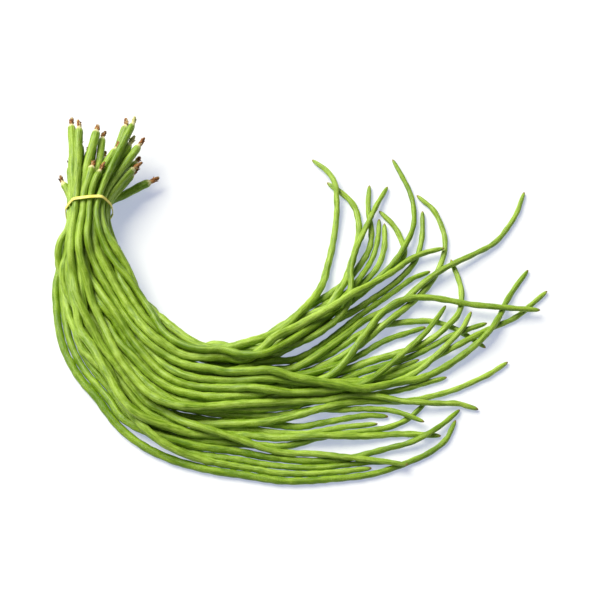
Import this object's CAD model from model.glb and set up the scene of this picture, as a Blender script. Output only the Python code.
# %% [markdown]
# # A bunch of yardlong beans
#
# Three dozen long, slim bean pods lie in one wide curve. A yellow rubber band holds them near their
# stems, and their tips fan out. The frame that is loaded first is a plain model of the same bunch:
# each pod is a six-sided tube. Here every tube becomes a real pod with seeds, seams, a dry stalk and
# a pointed beak, the band becomes soft rubber, and both get their skins.

# %% Load the frame
import math

import bmesh
import bpy
import numpy as np
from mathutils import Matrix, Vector


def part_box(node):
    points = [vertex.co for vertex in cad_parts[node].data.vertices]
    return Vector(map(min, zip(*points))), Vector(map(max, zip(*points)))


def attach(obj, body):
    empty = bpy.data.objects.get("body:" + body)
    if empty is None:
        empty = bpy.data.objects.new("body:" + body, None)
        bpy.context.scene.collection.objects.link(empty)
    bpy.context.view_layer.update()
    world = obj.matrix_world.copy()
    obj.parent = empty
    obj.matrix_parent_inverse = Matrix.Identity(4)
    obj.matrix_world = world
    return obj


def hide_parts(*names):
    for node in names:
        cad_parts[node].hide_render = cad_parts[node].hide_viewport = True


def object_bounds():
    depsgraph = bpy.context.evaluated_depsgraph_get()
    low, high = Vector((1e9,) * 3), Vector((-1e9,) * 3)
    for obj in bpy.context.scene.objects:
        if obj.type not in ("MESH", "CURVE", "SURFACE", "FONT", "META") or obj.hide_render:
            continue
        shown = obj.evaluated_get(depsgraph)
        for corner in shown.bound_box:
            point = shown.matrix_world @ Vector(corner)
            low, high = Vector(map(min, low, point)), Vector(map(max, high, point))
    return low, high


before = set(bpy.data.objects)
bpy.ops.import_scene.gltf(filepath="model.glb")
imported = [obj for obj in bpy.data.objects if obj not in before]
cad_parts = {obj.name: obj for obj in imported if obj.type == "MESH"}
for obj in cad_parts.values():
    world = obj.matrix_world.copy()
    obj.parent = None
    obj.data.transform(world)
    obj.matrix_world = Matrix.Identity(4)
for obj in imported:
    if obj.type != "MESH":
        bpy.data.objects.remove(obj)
cad_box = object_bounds()
MM = 0.001
print("pieces in the frame:", len(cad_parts))

# %% [markdown]
# ## The camera and the light
#
# Vegetables for a catalogue are laid on white paper and shot almost from above. A long lens keeps
# the far side from shrinking. A camera could be placed and turned by hand. We place it by its height
# angle and its distance from the middle of the bunch instead, so the view is easy to turn.
#
# Several small lamps would throw several shadows. One big lamp, far off on the upper left, draws the
# round backs of the pods and throws one soft shadow. It is far off so that the paper is just as
# bright on every side. A weak second lamp and a dim sky lighten the dark side.

# %% Place the camera
CAMERA_HEIGHT_ANGLE = math.radians(68)
CAMERA_DISTANCE = 1.5
HALF_VIEW = 0.285         # half of the view's width at that distance, in metres
SENSOR = 36               # the width of the camera's sensor, in mm
AIM = (0, -4.5 * MM, -10 * MM)  # from the middle of the frame's box to the point the camera looks at

low, high = (Vector(corner) for corner in cad_box)
middle = (low + high) / 2 + Vector(AIM)
towards_camera = Vector((0, -math.cos(CAMERA_HEIGHT_ANGLE), math.sin(CAMERA_HEIGHT_ANGLE)))
lens = bpy.data.cameras.new("camera")
lens.sensor_width = SENSOR
lens.lens = SENSOR / 2 * CAMERA_DISTANCE / HALF_VIEW
camera = bpy.data.objects.new("camera", lens)
camera.location = middle + CAMERA_DISTANCE * towards_camera
camera.rotation_euler = (-towards_camera).to_track_quat("-Z", "Y").to_euler()
bpy.context.scene.collection.objects.link(camera)
bpy.context.scene.camera = camera
print("lens:", round(lens.lens, 1), "mm")

# %% Light the table
def add_lamp(name, place, size, watts, colour):
    """Adds a square lamp that looks at the middle of the bunch."""
    data = bpy.data.lights.new(name, "AREA")
    data.size = size
    data.energy = watts
    data.color = colour
    lamp = bpy.data.objects.new(name, data)
    lamp.location = place
    lamp.rotation_euler = (middle - Vector(place)).to_track_quat("-Z", "Y").to_euler()
    bpy.context.scene.collection.objects.link(lamp)


add_lamp("key", place=(-2.8, 2.7, 4.4), size=4.0, watts=625, colour=(1.0, 0.985, 0.93))
add_lamp("fill", place=(1.2, -1.2, 1.3), size=1.6, watts=3, colour=(0.90, 0.95, 1.0))

world = bpy.data.worlds.new("studio")
world.use_nodes = True
sky = world.node_tree.nodes["Background"]
sky.inputs["Color"].default_value = (0.86, 0.91, 1.0, 1)
sky.inputs["Strength"].default_value = 0.15
bpy.context.scene.world = world
bpy.context.scene.view_settings.view_transform = "Standard"

# %% [markdown]
# ## Where each pod runs
#
# A real bunch is a pile: each pod lies in the place that its neighbours leave it. New routes could be
# drawn by hand, but they would run through each other and miss the frame. So we read them from the
# frame. A plain pod there is a tube with six corners in each ring, and we walk along it ring by ring.
# The middle of each ring is a point of the pod's centre line, and the distance to its corners is the
# pod's thickness there. These two lists are all that we need.
#
# A round pod reaches a little lower than a tube that lies on its flat side. So all pods are lifted
# by the same half millimetre, and the lowest ones rest on the table.

# %% Walk along a tube
CORNERS = 6
CORNER_REACH = 1.03       # the tube's corners are this much farther out than the round pod's skin
FULLNESS = 1.05           # the real pods fill the room between the tubes
LIFT = 0.5 * MM
SAME_PLACE = 0.001 * MM   # corners that are closer than this are one corner


def layers_from(start):
    """The corners of a tube, layer by layer along its edges, away from the start corners."""
    layers, seen, layer = [], set(start), set(start)
    while layer:
        layers.append(layer)
        layer = {edge.other_vert(corner) for corner in layer for edge in corner.link_edges} - seen
        seen |= layer
    return layers


def rings_of(name):
    """The rings of a plain pod's corners, from one end to the other."""
    tube = bmesh.new()
    tube.from_mesh(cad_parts[name].data)
    bmesh.ops.remove_doubles(tube, verts=tube.verts, dist=SAME_PLACE)
    tube.verts.ensure_lookup_table()
    # The last layer away from any corner is at an end. That end's ring is its nearest six corners.
    end = min(layers_from([tube.verts[0]])[-1], key=lambda corner: corner.index)
    nearest = sorted(tube.verts, key=lambda corner: (corner.co - end.co).length)
    rings = [np.array([corner.co for corner in ring]) for ring in layers_from(nearest[:CORNERS])]
    tube.free()
    if any(len(ring) != CORNERS for ring in rings):
        raise ValueError(f"{name} isn't a tube with {CORNERS} corners in each ring")
    return rings


pod_names = sorted(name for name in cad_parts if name.startswith("bean_"))
print("pods:", len(pod_names), "and rings in the first:", len(rings_of(pod_names[0])))

# %% Read each pod's route
band_low, band_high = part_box("rubber_band")
tie = (np.array(band_low) + np.array(band_high)) / 2


def centre_line(name):
    """A pod's centre points and radii, from its stem end to its tip."""
    rings = rings_of(name)
    centres = np.array([ring.mean(axis=0) for ring in rings])
    radii = np.array([np.linalg.norm(ring - centre, axis=1).mean() / CORNER_REACH
                      for ring, centre in zip(rings, centres)])
    if np.linalg.norm(centres[0] - tie) > np.linalg.norm(centres[-1] - tie):
        centres, radii = centres[::-1], radii[::-1]
    return centres + (0, 0, LIFT), radii * FULLNESS


def length_of(line):
    return float(np.linalg.norm(np.diff(line, axis=0), axis=1).sum())


routes = {name: centre_line(name) for name in pod_names}
lengths = [length_of(centres) for centres, _ in routes.values()]
print("the pods are", round(min(lengths) / MM), "to", round(max(lengths) / MM), "mm long")

# %% [markdown]
# ## One straight pod
#
# A long bean is a round pod that swells a little at each seed, with a seam down each side. It hangs
# from a short dry stalk and ends in a pointed beak. A curve with a round bevel would make a smooth
# tube in no time, but without seeds or seams. A bent mesh is hard to model. So we model the pod
# upright and straight, from a cylinder: we cut it into many rings, swell it at each seed, and press
# in its two seams. Then we pull the stalk and the beak out of its two ends, ring by ring, and crumple
# the dry stalk. Bending comes later, with a Curve modifier. A few different straight pods are enough,
# because each bean turns, stretches and bends its copy in its own way.

# %% Helpers for edit mode
def deselect_all():
    for item in bpy.context.selected_objects:
        item.select_set(False)


def start_editing(piece):
    deselect_all()
    piece.select_set(True)
    bpy.context.view_layer.objects.active = piece
    bpy.ops.object.mode_set(mode="EDIT")
    bpy.context.tool_settings.mesh_select_mode = (True, False, False)


def apply_modifiers(piece):
    deselect_all()
    piece.select_set(True)
    bpy.context.view_layer.objects.active = piece
    for modifier in list(piece.modifiers):
        bpy.ops.object.modifier_apply(modifier=modifier.name)


def select_corners(piece, wanted):
    """In edit mode, selects the corners whose place passes the test. Returns how many there are."""
    shape = bmesh.from_edit_mesh(piece.data)
    for corner in shape.verts:
        corner.select = wanted(corner.co)
    shape.select_mode = {"VERT"}
    shape.select_flush_mode()
    bmesh.update_edit_mesh(piece.data)
    return sum(corner.select for corner in shape.verts)


def select_upright_edges(piece):
    """In edit mode, selects the edges that run along the pod."""
    bpy.ops.mesh.select_all(action="DESELECT")
    shape = bmesh.from_edit_mesh(piece.data)
    for edge in shape.edges:
        low, high = (corner.co for corner in edge.verts)
        edge.select = abs(high.z - low.z) > 2 * math.hypot(high.x - low.x, high.y - low.y)
    bmesh.update_edit_mesh(piece.data)


def select_nearest_face(piece, place):
    """In edit mode, selects the one face whose middle is nearest to a place."""
    bpy.ops.mesh.select_all(action="DESELECT")
    shape = bmesh.from_edit_mesh(piece.data)
    face = min(shape.faces, key=lambda face: (face.calc_center_median() - place).length)
    face.select_set(True)
    bmesh.update_edit_mesh(piece.data)


print("ready to edit, in mode", bpy.context.mode)

# %% Set the measures of a straight pod
POD_RADIUS = 4 * MM
POD_LENGTH = 600 * MM
POD_SIDES = 24
SHOULDER = 12 * MM        # the full pod is between its shoulder and its beak
BEAK = 588 * MM
CUTS = 15                 # made twice, so the pod has 16 x 16 stretches
STRETCH = (BEAK - SHOULDER) / (CUTS + 1) ** 2
SEED_SPACING = (11 * MM, 17 * MM)
FIRST_SEED = SHOULDER + 10 * MM
LAST_SEED = BEAK - 4 * MM
SEED_SWELL = (0.02, 0.06)  # how much fuller the pod is at a seed
WAIST_PINCH = (0.01, 0.05)  # how much thinner it is between two seeds
SEED_REACH = 0.62         # how far a swelling reaches, as a share of the spacing
WAIST_REACH = 0.4
RIPENESS = (0.7, 2.0)     # swelling and pinch are this many times as strong at the stalk and the beak
SEAM_DEPTH = 0.94
SEAM_HALF_WIDTH = 0.2 * MM
FLATNESS = (1.03, 0.96)   # a pod is a little wider across its seams than between them
# The rings pulled out of the ends: how far, in mm, and how wide, as a share of the one before.
STALK_RINGS = ((0.7, 0.98), (0.9, 0.94), (0.9, 0.88), (0.8, 0.80), (0.6, 0.78), (0.6, 1.05),
               (0.9, 1.08), (1.1, 0.96), (1.2, 0.91), (1.3, 0.87), (1.3, 0.84), (1.0, 0.76), (0.7, 0.5))
BEAK_RINGS = ((3.2, 0.95), (2.8, 0.91), (2.3, 0.86), (1.7, 0.78), (1.1, 0.68), (0.6, 0.55), (0.3, 0.5))
STALK_FOOT = 7.5 * MM     # the dry stalk ends here, and the pale collar begins
print("a straight pod has a ring every", round(STRETCH / MM, 2), "mm")

# %% Scale a ring, or pull rings out of an end
def scale_ring(piece, height, share, reach):
    """Scales the ring nearest to a height across the pod, and the rings near it less and less."""
    select_corners(piece, lambda place: abs(place.z - height) < 0.51 * STRETCH)
    bpy.ops.transform.resize(value=(share, share, 1), center_override=(0, 0, height),
                             use_proportional_edit=True, proportional_edit_falloff="SMOOTH",
                             proportional_size=reach)


def pull_rings(piece, height, rings, up):
    """Pulls rings out of the end that is at a height, upwards (1) or downwards (-1)."""
    select_corners(piece, lambda place: abs(place.z - height) < 0.01 * MM)
    for step, share in rings:
        height += up * step * MM
        bpy.ops.mesh.extrude_region_move(TRANSFORM_OT_translate={"value": (0, 0, up * step * MM)})
        bpy.ops.transform.resize(value=(share, share, 1), center_override=(0, 0, height))


print("rings pulled out of a pod:", len(STALK_RINGS), "for the stalk,", len(BEAK_RINGS), "for the beak")

# %% Crumple the dry stalk
FLAKES = 6
FLAKE_ROOT = (3.5, 7.2)   # how high on the stalk a torn flake begins, in mm
FLAKE_OUT = (0.3, 1.3)    # how far it stands off the stalk
FLAKE_BACK = (1.0, 3.0)   # and how far it points back to the stalk's end
STALK_RADIUS = 2 * MM
STALK_END = 1.2 * MM      # the corners up to this height lean to a side
LEAN = (-2, 2)            # how far they lean, in mm
LEAN_REACH = 6 * MM       # the corners this far from them lean too, less and less
WRINKLE = 0.5 * MM


def tear_flakes(piece, rng):
    """Pulls torn flakes out of the stalk, all round it."""
    for turn in range(FLAKES):
        angle = math.tau * (turn + rng.uniform(0.1, 0.9)) / FLAKES
        out = Vector((math.cos(angle), math.sin(angle), 0))
        root = out * STALK_RADIUS + Vector((0, 0, rng.uniform(*FLAKE_ROOT) * MM))
        select_nearest_face(piece, root)
        reach = rng.uniform(*FLAKE_OUT) * MM * out - Vector((0, 0, rng.uniform(*FLAKE_BACK) * MM))
        bpy.ops.mesh.extrude_region_move(TRANSFORM_OT_translate={"value": reach})
        bpy.ops.transform.resize(value=(0.5, 0.5, 0.5), center_override=root + reach)


def crumple_stalk(piece, rng, seed):
    """Tears flakes out of the dry stalk, wrinkles it, and leans it to one side."""
    tear_flakes(piece, rng)
    select_corners(piece, lambda place: place.z < STALK_FOOT)
    bpy.ops.transform.vertex_random(offset=WRINKLE, uniform=0.3, normal=0.2, seed=seed)
    select_corners(piece, lambda place: place.z < STALK_END)
    lean = (rng.uniform(*LEAN) * MM, rng.uniform(*LEAN) * MM, 0)
    bpy.ops.transform.translate(value=lean, use_proportional_edit=True,
                                proportional_edit_falloff="SMOOTH", proportional_size=LEAN_REACH)


print("flakes on a stalk:", FLAKES)

# %% Model the straight pods
VARIANTS = 6
SHAPE_SEED = 11


def swell_at_seeds(piece, rng):
    """Swells the pod at each seed and pinches it between two seeds."""
    height = FIRST_SEED
    while height < LAST_SEED:
        gap = rng.uniform(*SEED_SPACING)
        ripeness = RIPENESS[0] + (RIPENESS[1] - RIPENESS[0]) * height / BEAK
        scale_ring(piece, height, 1 + ripeness * rng.uniform(*SEED_SWELL), SEED_REACH * gap)
        scale_ring(piece, height + gap / 2, 1 - ripeness * rng.uniform(*WAIST_PINCH), WAIST_REACH * gap)
        height += gap


def straight_pod(name, rng, seed):
    """An upright pod from z = 0, its stalk's end, to z = POD_LENGTH, the tip of its beak."""
    deselect_all()
    bpy.ops.mesh.primitive_cylinder_add(vertices=POD_SIDES, radius=POD_RADIUS, depth=BEAK - SHOULDER,
                                        end_fill_type="TRIFAN", location=(0, 0, (SHOULDER + BEAK) / 2))
    pod = bpy.context.object
    pod.name = name
    bpy.ops.object.transform_apply(location=True, rotation=False, scale=False)
    start_editing(pod)
    bpy.context.tool_settings.mesh_select_mode = (False, True, False)
    for _ in range(2):
        select_upright_edges(pod)
        bpy.ops.mesh.subdivide(number_cuts=CUTS)
    bpy.context.tool_settings.mesh_select_mode = (True, False, False)
    swell_at_seeds(pod, rng)
    select_corners(pod, lambda place: abs(place.y) < SEAM_HALF_WIDTH and abs(place.x) > POD_RADIUS / 2)
    bpy.ops.transform.resize(value=(SEAM_DEPTH, 1, 1), center_override=(0, 0, 0))
    bpy.ops.mesh.select_all(action="SELECT")
    bpy.ops.transform.resize(value=(*FLATNESS, 1), center_override=(0, 0, 0))
    pull_rings(pod, SHOULDER, STALK_RINGS, -1)
    pull_rings(pod, BEAK, BEAK_RINGS, 1)
    crumple_stalk(pod, rng, seed)
    bpy.ops.object.mode_set(mode="OBJECT")
    return pod


shape_rng = np.random.default_rng(SHAPE_SEED)
straight_pods = [straight_pod(f"straight_pod_{number}", shape_rng, number) for number in range(VARIANTS)]
print("straight pods:", len(straight_pods), "with", len(straight_pods[0].data.polygons), "faces each")

# %% [markdown]
# ## Lumps and sways
#
# No pod grows perfectly round or straight. Sculpting every lump by hand would take hours, so Displace
# modifiers with a cloud texture do it: one pushes the skin in and out in soft lumps, and two slower
# ones sway the whole pod a little sideways, to and fro. The straight pods stand apart from each other
# while this is done, so each one meets a different part of the clouds.

# %% Make them uneven
STAND_APART = 0.1


def uneven(piece, name, cloud_size, strength, direction):
    """Adds a modifier that pushes the piece's skin to and fro, by up to half its strength each way."""
    clouds = bpy.data.textures.new(name, "CLOUDS")
    clouds.noise_scale = cloud_size
    push = piece.modifiers.new(name, "DISPLACE")
    push.texture = clouds
    push.texture_coords = "GLOBAL"
    push.direction = direction
    push.mid_level = 0.5
    push.strength = strength


for number, pod in enumerate(straight_pods):
    pod.location.x = STAND_APART * (number + 1)
    bpy.context.view_layer.update()
    uneven(pod, "lumps", cloud_size=8 * MM, strength=0.7 * MM, direction="NORMAL")
    uneven(pod, "sway_x", cloud_size=60 * MM, strength=1.2 * MM, direction="X")
    uneven(pod, "sway_y", cloud_size=72 * MM, strength=1.2 * MM, direction="Y")
    apply_modifiers(pod)
    pod.location.x = 0
reach = max(corner.co.x for corner in straight_pods[0].data.vertices)
print("the first pod's skin reaches", round(reach / MM, 2), "mm to the side")

# %% [markdown]
# ## Bend the pods
#
# The pods of a bunch all bend together, and each one is a little longer, thinner or more twisted than
# the next. Bones could bend them, one bone after the other. A Curve modifier is simpler: it lays a
# straight mesh along a curve. The curve's own radius at each point scales the mesh across, which
# gives every pod its thick middle and its thin neck and tail. The curve's tilt turns the seams round
# the pod.
#
# The modifier stretches the whole mesh to fit, and that would pull a long stalk out of a long pod. So
# each copy is first made as long as its bean, part by part: the stalk, the neck, the long middle and
# the beak. What hangs a little below the table at the end is pressed flat on it.

# %% Draw a guide curve along a route
GUIDE_STEPS = 10          # straight steps from one of the curve's points to the next


def guide_curve(name, centres, radii, roll, twist):
    """A smooth curve through the pod's centre points, as thick as the pod at each of them."""
    curve = bpy.data.curves.new(name, "CURVE")
    curve.dimensions = "3D"
    curve.twist_mode = "MINIMUM"
    curve.use_stretch = True
    curve.use_deform_bounds = True
    curve.use_radius = True
    line = curve.splines.new("BEZIER")
    line.resolution_u = GUIDE_STEPS
    line.radius_interpolation = "CARDINAL"
    line.bezier_points.add(len(centres) - 1)
    for index, (point, centre, radius) in enumerate(zip(line.bezier_points, centres, radii)):
        point.co = centre
        point.radius = radius / POD_RADIUS
        point.tilt = roll + twist * index / len(centres)
        point.handle_left_type = "AUTO"
        point.handle_right_type = "AUTO"
    guide = bpy.data.objects.new(name, curve)
    bpy.context.scene.collection.objects.link(guide)
    return guide


print("points on a guide curve:", len(routes[pod_names[0]][0]))

# %% Fit a straight pod to its bean's length
BEAK_RESERVE = 30 * MM    # this much of the tip keeps its length


def fit_length(piece, length, stalk_length, neck_length):
    """Makes a straight pod as long as its bean: stalk, neck, middle and beak each on its own."""
    corners = np.zeros(3 * len(piece.data.vertices), np.float32)
    piece.data.vertices.foreach_get("co", corners)
    old = (0, STALK_FOOT, SHOULDER, POD_LENGTH - BEAK_RESERVE, POD_LENGTH)
    new = (0, stalk_length, stalk_length + neck_length, length - BEAK_RESERVE, length)
    corners[2::3] = np.interp(corners[2::3], old, new)
    piece.data.vertices.foreach_set("co", corners)
    return corners.reshape(-1, 3)


def note_places(piece, corners, length, stalk_length, index, shade, fresh):
    """Keeps, on each corner, where it was on the straight pod, for the skin to follow."""
    along = corners[:, 2]
    straight = corners + np.array((0, 0, index), np.float32)  # no two pods read the same noise
    for name, kind, key, values in (
        ("straight", "FLOAT_VECTOR", "vector", straight.ravel()),
        ("from_foot", "FLOAT", "value", along - stalk_length),
        ("from_tip", "FLOAT", "value", length - along),
        ("shade", "FLOAT", "value", np.full(len(along), shade, np.float32)),
        ("fresh", "FLOAT", "value", np.full(len(along), fresh, np.float32)),
    ):
        piece.data.attributes.new(name, kind, "POINT").data.foreach_set(key, values)


print("the last", round(BEAK_RESERVE / MM), "mm of each pod keep their length")

# %% Lay the pods along their routes
NECK_LENGTH = (4, 9)      # in mm
TWIST = (-3, 3)           # how far the seams turn round the pod on its way, in radians
FRESH_STALKS = ("bean_07", "bean_08")  # these two haven't dried yet
LAY_SEED = 23


def rest_on_table(piece):
    """Presses flat whatever hangs below the table, as the pod's own weight does."""
    start_editing(piece)
    if select_corners(piece, lambda place: place.z < 0):
        bpy.ops.transform.resize(value=(1, 1, 0), center_override=(0, 0, 0))
    bpy.ops.object.mode_set(mode="OBJECT")


def lay_pod(name, index, rng):
    """A copy of a straight pod, as long as one of the frame's pods and bent along its route."""
    source = straight_pods[index % VARIANTS]
    pod = source.copy()
    pod.data = source.data.copy()
    pod.name = name.replace("bean", "pod")
    bpy.context.scene.collection.objects.link(pod)
    centres, radii = routes[name]
    length, stalk_length = length_of(centres), length_of(centres[:2])
    corners = fit_length(pod, length, stalk_length, rng.uniform(*NECK_LENGTH) * MM)
    note_places(pod, corners, length, stalk_length, index, rng.uniform(0, 1), name in FRESH_STALKS)
    # The stalk and the beak are thin already on the straight pod: the curve mustn't thin them again.
    radii[:3] = radii[3]
    radii[-2:] = radii[-3]
    guide = guide_curve("guide", centres, radii, rng.uniform(0, math.tau), rng.uniform(*TWIST))
    bend = pod.modifiers.new("bend", "CURVE")
    bend.object = guide
    bend.deform_axis = "POS_Z"
    apply_modifiers(pod)
    rest_on_table(pod)
    bpy.ops.object.shade_smooth()
    bpy.data.objects.remove(guide)
    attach(pod, "root")
    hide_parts(name)
    return pod


lay_rng = np.random.default_rng(LAY_SEED)
pods = [lay_pod(name, index, lay_rng) for index, name in enumerate(pod_names)]
for source in straight_pods:
    bpy.data.objects.remove(source)
print("pods laid:", len(pods))

# %% [markdown]
# ## The rubber band
#
# The band is cut from a thin rubber tube, so it is a flat strip with slightly rounded edges. It is
# pulled tight over the outermost pods. A torus would be a loop too, but a round one that touches no
# pod. The frame already has the right loop as a sharp strip. So we copy it, merge its corners, round
# its long edges with a bevel, and smooth the loop with a subdivision surface.

# %% Copy the band's loop
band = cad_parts["rubber_band"].copy()
band.data = band.data.copy()
band.name = "soft_band"
bpy.context.scene.collection.objects.link(band)
start_editing(band)
bpy.ops.mesh.select_all(action="SELECT")
bpy.ops.mesh.remove_doubles(threshold=SAME_PLACE)
bpy.ops.mesh.tris_convert_to_quads(face_threshold=math.radians(20), shape_threshold=math.radians(60))
bpy.ops.transform.translate(value=(0, 0, LIFT))
bpy.ops.object.mode_set(mode="OBJECT")
print("faces of the sharp band:", len(band.data.polygons))

# %% Round the band
rounding = band.modifiers.new("rounding", "BEVEL")
rounding.width = 0.3 * MM
rounding.segments = 2
rounding.limit_method = "ANGLE"
rounding.angle_limit = math.radians(50)
softness = band.modifiers.new("softness", "SUBSURF")
softness.levels = softness.render_levels = 2
apply_modifiers(band)
bpy.ops.object.shade_smooth()
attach(band, "root")
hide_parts("rubber_band")
print("faces of the soft band:", len(band.data.polygons))

# %% [markdown]
# ## Materials
#
# Skin and rubber are never one flat colour. A material is a small calculation that Blender makes at
# each point of the surface. Written as nodes, even a short one is a tangle. So one small class wraps
# the output of a node, and sums and products of such outputs add their own Math nodes.

# %% A class for shader maths
class Wire:
    """One output of a node in a material. Numbers and wires can be mixed in sums and products."""

    def __init__(self, tree, socket=None):
        self.tree, self.socket = tree, socket

    def node(self, kind, settings=None, sockets=None, output=0):
        """Adds a node: its settings come first, then its sockets' values or wires."""
        made = self.tree.nodes.new(kind)
        for key, value in (settings or {}).items():
            setattr(made, key, value)
        for key, value in (sockets or {}).items():
            if isinstance(value, Wire):
                self.tree.links.new(value.socket, made.inputs[key])
            else:
                made.inputs[key].default_value = value
        return Wire(self.tree, made.outputs[output])

    def math(self, operation, *values):
        return self.node("ShaderNodeMath", {"operation": operation}, dict(enumerate(values)))

    def __add__(self, other):
        return self.math("ADD", self, other)

    def __sub__(self, other):
        return self.math("SUBTRACT", self, other)

    def __rsub__(self, other):
        return self.math("SUBTRACT", other, self)

    def __mul__(self, other):
        return self.math("MULTIPLY", self, other)

    __radd__ = __add__
    __rmul__ = __mul__

    def size(self):
        """The number without its sign."""
        return self.math("ABSOLUTE", self)

    def at_most(self, limit):
        return self.math("MINIMUM", self, limit)

    def step(self, start, stop):
        """0 at start and before it, 1 at stop and after it, and smooth in between."""
        return self.node("ShaderNodeMapRange", {"interpolation_type": "SMOOTHSTEP"},
                         {"Value": self, "From Min": start, "From Max": stop})

    def noise(self, scale, detail=2.0, roughness=0.5):
        """Noise at the places of this wire, which is a vector. Its grains are 1 / scale metres wide."""
        return self.node("ShaderNodeTexNoise", None,
                         {"Vector": self, "Scale": scale, "Detail": detail, "Roughness": roughness})

    def stretched(self, x, y, z):
        """Scales this wire's places, so that a grain is 1 / x, 1 / y and 1 / z times as long."""
        return self.node("ShaderNodeVectorMath", {"operation": "MULTIPLY"}, {0: self, 1: (x, y, z)})

    def mix(self, first, second):
        """Where this wire is 0 the first colour, and where it is 1 the second."""
        return self.node("ShaderNodeMix", {"data_type": "RGBA"},
                         {0: self, 6: first, 7: second}, output=2)


print("what a wire can do:", [name for name in vars(Wire) if name[0] != "_"])

# %% Helpers for materials
def new_material(name):
    """A material with one Principled shader, and a wire to start the sums from."""
    material = bpy.data.materials.new(name)
    material.use_nodes = True
    return material, material.node_tree.nodes["Principled BSDF"], Wire(material.node_tree)


def attribute(start, name, output):
    """A wire that reads what is kept under a name on the mesh."""
    return start.node("ShaderNodeAttribute", {"attribute_name": name}, output=output)


def plug(shader, socket, wire):
    wire.tree.links.new(wire.socket, shader.inputs[socket])


print("kept on a pod's mesh:", [item.name for item in pods[0].data.attributes if item.name[0] != "."])

# %% [markdown]
# ## The skin of a pod
#
# A fresh pod is a soft yellow-green. Looked at closely, it has fine streaks along its length, a dense
# stipple of paler dots, and wide patches that are a little lighter or darker. Its two seams are thin
# paler lines. Small rusty marks sit here and there, and more of them near the ends. At the stem the
# green turns into a cream collar and then into the dry, brown stalk; the beak ends in a brown point.
#
# A painted image would show all this too, but it needs an unwrapped mesh and goes soft close up. Noise
# stays sharp at any size. And all of this follows the pod, not the room. So the noise is read from
# where each point was on the straight pod, which we kept as an attribute before bending.

# %% Choose the colours, and read what the mesh keeps
GREEN_DEEP = (0.105, 0.215, 0.001, 1)
GREEN_MID = (0.300, 0.480, 0.006, 1)
GREEN_PALE = (0.530, 0.690, 0.160, 1)
CREAM = (0.78, 0.72, 0.36, 1)
BARK_DARK = (0.110, 0.033, 0.006, 1)
BARK_LIGHT = (0.52, 0.22, 0.06, 1)
FRESH_STALK = (0.62, 0.62, 0.24, 1)
RUST = (0.22, 0.10, 0.02, 1)
BEAK_POINT = (0.30, 0.17, 0.05, 1)

pod_skin, shader, start = new_material("pod_skin")
shader.inputs["Specular IOR Level"].default_value = 0.4
straight = attribute(start, "straight", "Vector")
from_foot = attribute(start, "from_foot", "Fac")
from_tip = attribute(start, "from_tip", "Fac")
shade = attribute(start, "shade", "Fac")
fresh = attribute(start, "fresh", "Fac")
print("greens:", GREEN_DEEP[:3], GREEN_MID[:3], GREEN_PALE[:3])

# %% Mix the green
# Grains 1.5 mm wide and ten times as long are streaks, and grains under 1 mm are dots. Grains of
# 9 mm are patches. The seams run along the pod's two sides, where y is 0 on the straight pod.
streaks = straight.stretched(1, 1, 0.10).noise(650, 3.0, 0.6).step(0.36, 0.64)
stipple = straight.stretched(1, 1, 0.5).noise(1300, 2.0, 0.6).step(0.45, 0.72)
patches = straight.stretched(1, 1, 0.4).noise(110, 3.0, 0.55).step(0.32, 0.68)
across = straight.node("ShaderNodeSeparateXYZ", None, {0: straight}, output=1)
seam = 1 - across.size().step(0.15 * MM, 0.55 * MM)

tone = 0.33 * patches + 0.32 * shade + 0.35 * streaks
green = tone.step(0.0, 1.0).mix(GREEN_DEEP, GREEN_MID)
green = (0.50 * stipple * patches + 0.45 * streaks * shade).mix(green, GREEN_PALE)
green = (0.35 * seam).mix(green, GREEN_PALE)
print("nodes for the green:", len(pod_skin.node_tree.nodes))

# %% Add the rust, the collar, the dry stalk and the brown point
# Only the highest peaks of the noise turn to rust. Close to an end they are a little higher. Where
# one colour gives way to the next, the ragged distance tears the edge between them.
marks = straight.stretched(1, 1, 0.6).noise(330, 4.0, 0.7)
near_ends = 1 - from_foot.step(8 * MM, 60 * MM) * from_tip.step(5 * MM, 60 * MM)
rust = (marks + 0.07 * near_ends).step(0.735, 0.775)
skin = (0.8 * rust).mix(green, RUST)

ragged = 2.2 * MM * (straight.noise(700, 3.0, 0.6) - 0.5)
collar = 1 - (from_foot + ragged * 3.0).step(1.5 * MM, 5.5 * MM)
skin = collar.mix(skin, CREAM)
bark = straight.stretched(1, 1, 0.4).noise(700, 3.0, 0.7).step(0.40, 0.62).mix(BARK_DARK, BARK_LIGHT)
bark = (0.8 * straight.stretched(1, 1, 0.6).noise(520, 2.0, 0.6).step(0.56, 0.66)).mix(bark, CREAM)
bark = (0.85 * fresh).mix(bark, FRESH_STALK)
stalk = 1 - (from_foot + ragged * 2.5).step(0, 1.6 * MM)
skin = stalk.mix(skin, bark)
point = 1 - (from_tip + ragged).step(1.0 * MM, 3.2 * MM)
skin = (0.8 * point).mix(skin, BEAK_POINT)
plug(shader, "Base Color", skin)
print("nodes for the whole colour:", len(pod_skin.node_tree.nodes))

# %% Give the skin its gloss and its relief
dry = (stalk + 0.5 * rust).at_most(1)
plug(shader, "Roughness", 0.36 + 0.12 * patches + 0.10 * stipple + 0.35 * dry)

relief = 0.6 * streaks + 0.5 * stipple + 0.6 * patches - 0.5 * rust
bump = relief.node("ShaderNodeBump", None, {"Height": relief, "Strength": 0.9, "Distance": 0.26 * MM})
plug(shader, "Normal", bump)

for pod in pods:
    pod.data.materials.clear()
    pod.data.materials.append(pod_skin)
print("nodes for the pod skin:", len(pod_skin.node_tree.nodes))

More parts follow.
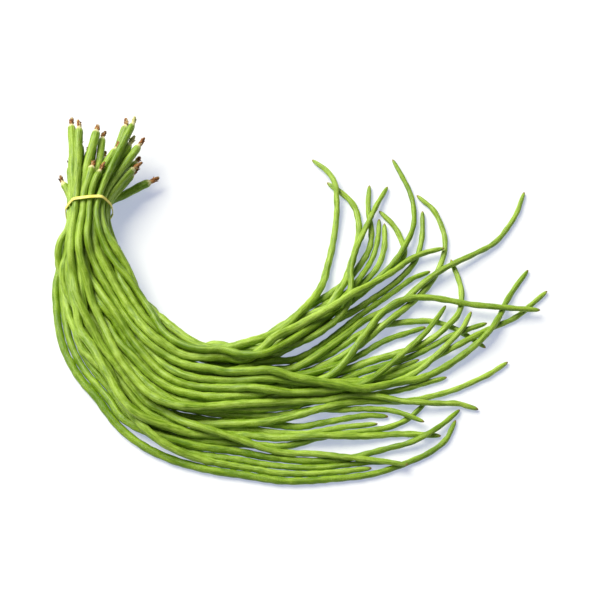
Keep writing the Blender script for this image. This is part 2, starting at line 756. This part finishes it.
# %% [markdown]
# ## Rubber
#
# The band is plain pale yellow rubber: matt, with a faint cloudiness. One colour would make it look
# like plastic, so wide soft noise shifts its yellow, and fine noise makes it matt and a little rough.
# It has no seams or ends to follow, so the noise is simply read from where each point lies.

# %% Make the rubber
RUBBER_DEEP = (0.86, 0.70, 0.09, 1)
RUBBER_PALE = (0.96, 0.86, 0.22, 1)

rubber, shader, start = new_material("rubber")
place = start.node("ShaderNodeTexCoord", output="Object")
clouds = place.noise(180, 3.0, 0.6).step(0.35, 0.68)
grain = place.noise(1600, 2.0, 0.5)
plug(shader, "Base Color", clouds.mix(RUBBER_DEEP, RUBBER_PALE))
plug(shader, "Roughness", 0.48 + 0.16 * grain)
bump = grain.node("ShaderNodeBump", None, {"Height": grain, "Strength": 0.4, "Distance": 0.08 * MM})
plug(shader, "Normal", bump)
band.data.materials.clear()
band.data.materials.append(rubber)
print("nodes for the rubber:", len(rubber.node_tree.nodes))

# %% [markdown]
# ## The paper
#
# The bunch lies on a big sheet of white paper. White paper under one lamp gets grey shadows. More
# lamps would lighten them, but they would also flatten the pods. Instead the paper itself glows a
# little, in a cool tint, as on a light table: the shadows stay a pale blue-grey and never turn black.
# It lies a hair lower than the pods, so that the two never fight for the same place.

# %% Lay the paper
PAPER_SIZE = 12
PAPER_DROP = 0.1 * MM
PAPER_COLOUR = (0.565, 0.55, 0.44, 1)
GLOW_COLOUR = (0.65, 0.71, 1.0, 1)
GLOW_STRENGTH = 0.54

deselect_all()
bpy.ops.mesh.primitive_plane_add(size=PAPER_SIZE, location=(0, 0, -PAPER_DROP))
table = bpy.context.object
table.name = "table"
paper, shader, start = new_material("white_paper")
shader.inputs["Roughness"].default_value = 0.9
shader.inputs["Base Color"].default_value = PAPER_COLOUR
shader.inputs["Emission Color"].default_value = GLOW_COLOUR
shader.inputs["Emission Strength"].default_value = GLOW_STRENGTH
table.data.materials.append(paper)
print("the table is", PAPER_SIZE, "m wide")

# %% [markdown]
# ## The size
#
# The bunch must not grow while it gets its looks. We could measure it by eye, but a box is exact: we
# write down the frame's box and the new one, and print the lowest point, which should be on the table.
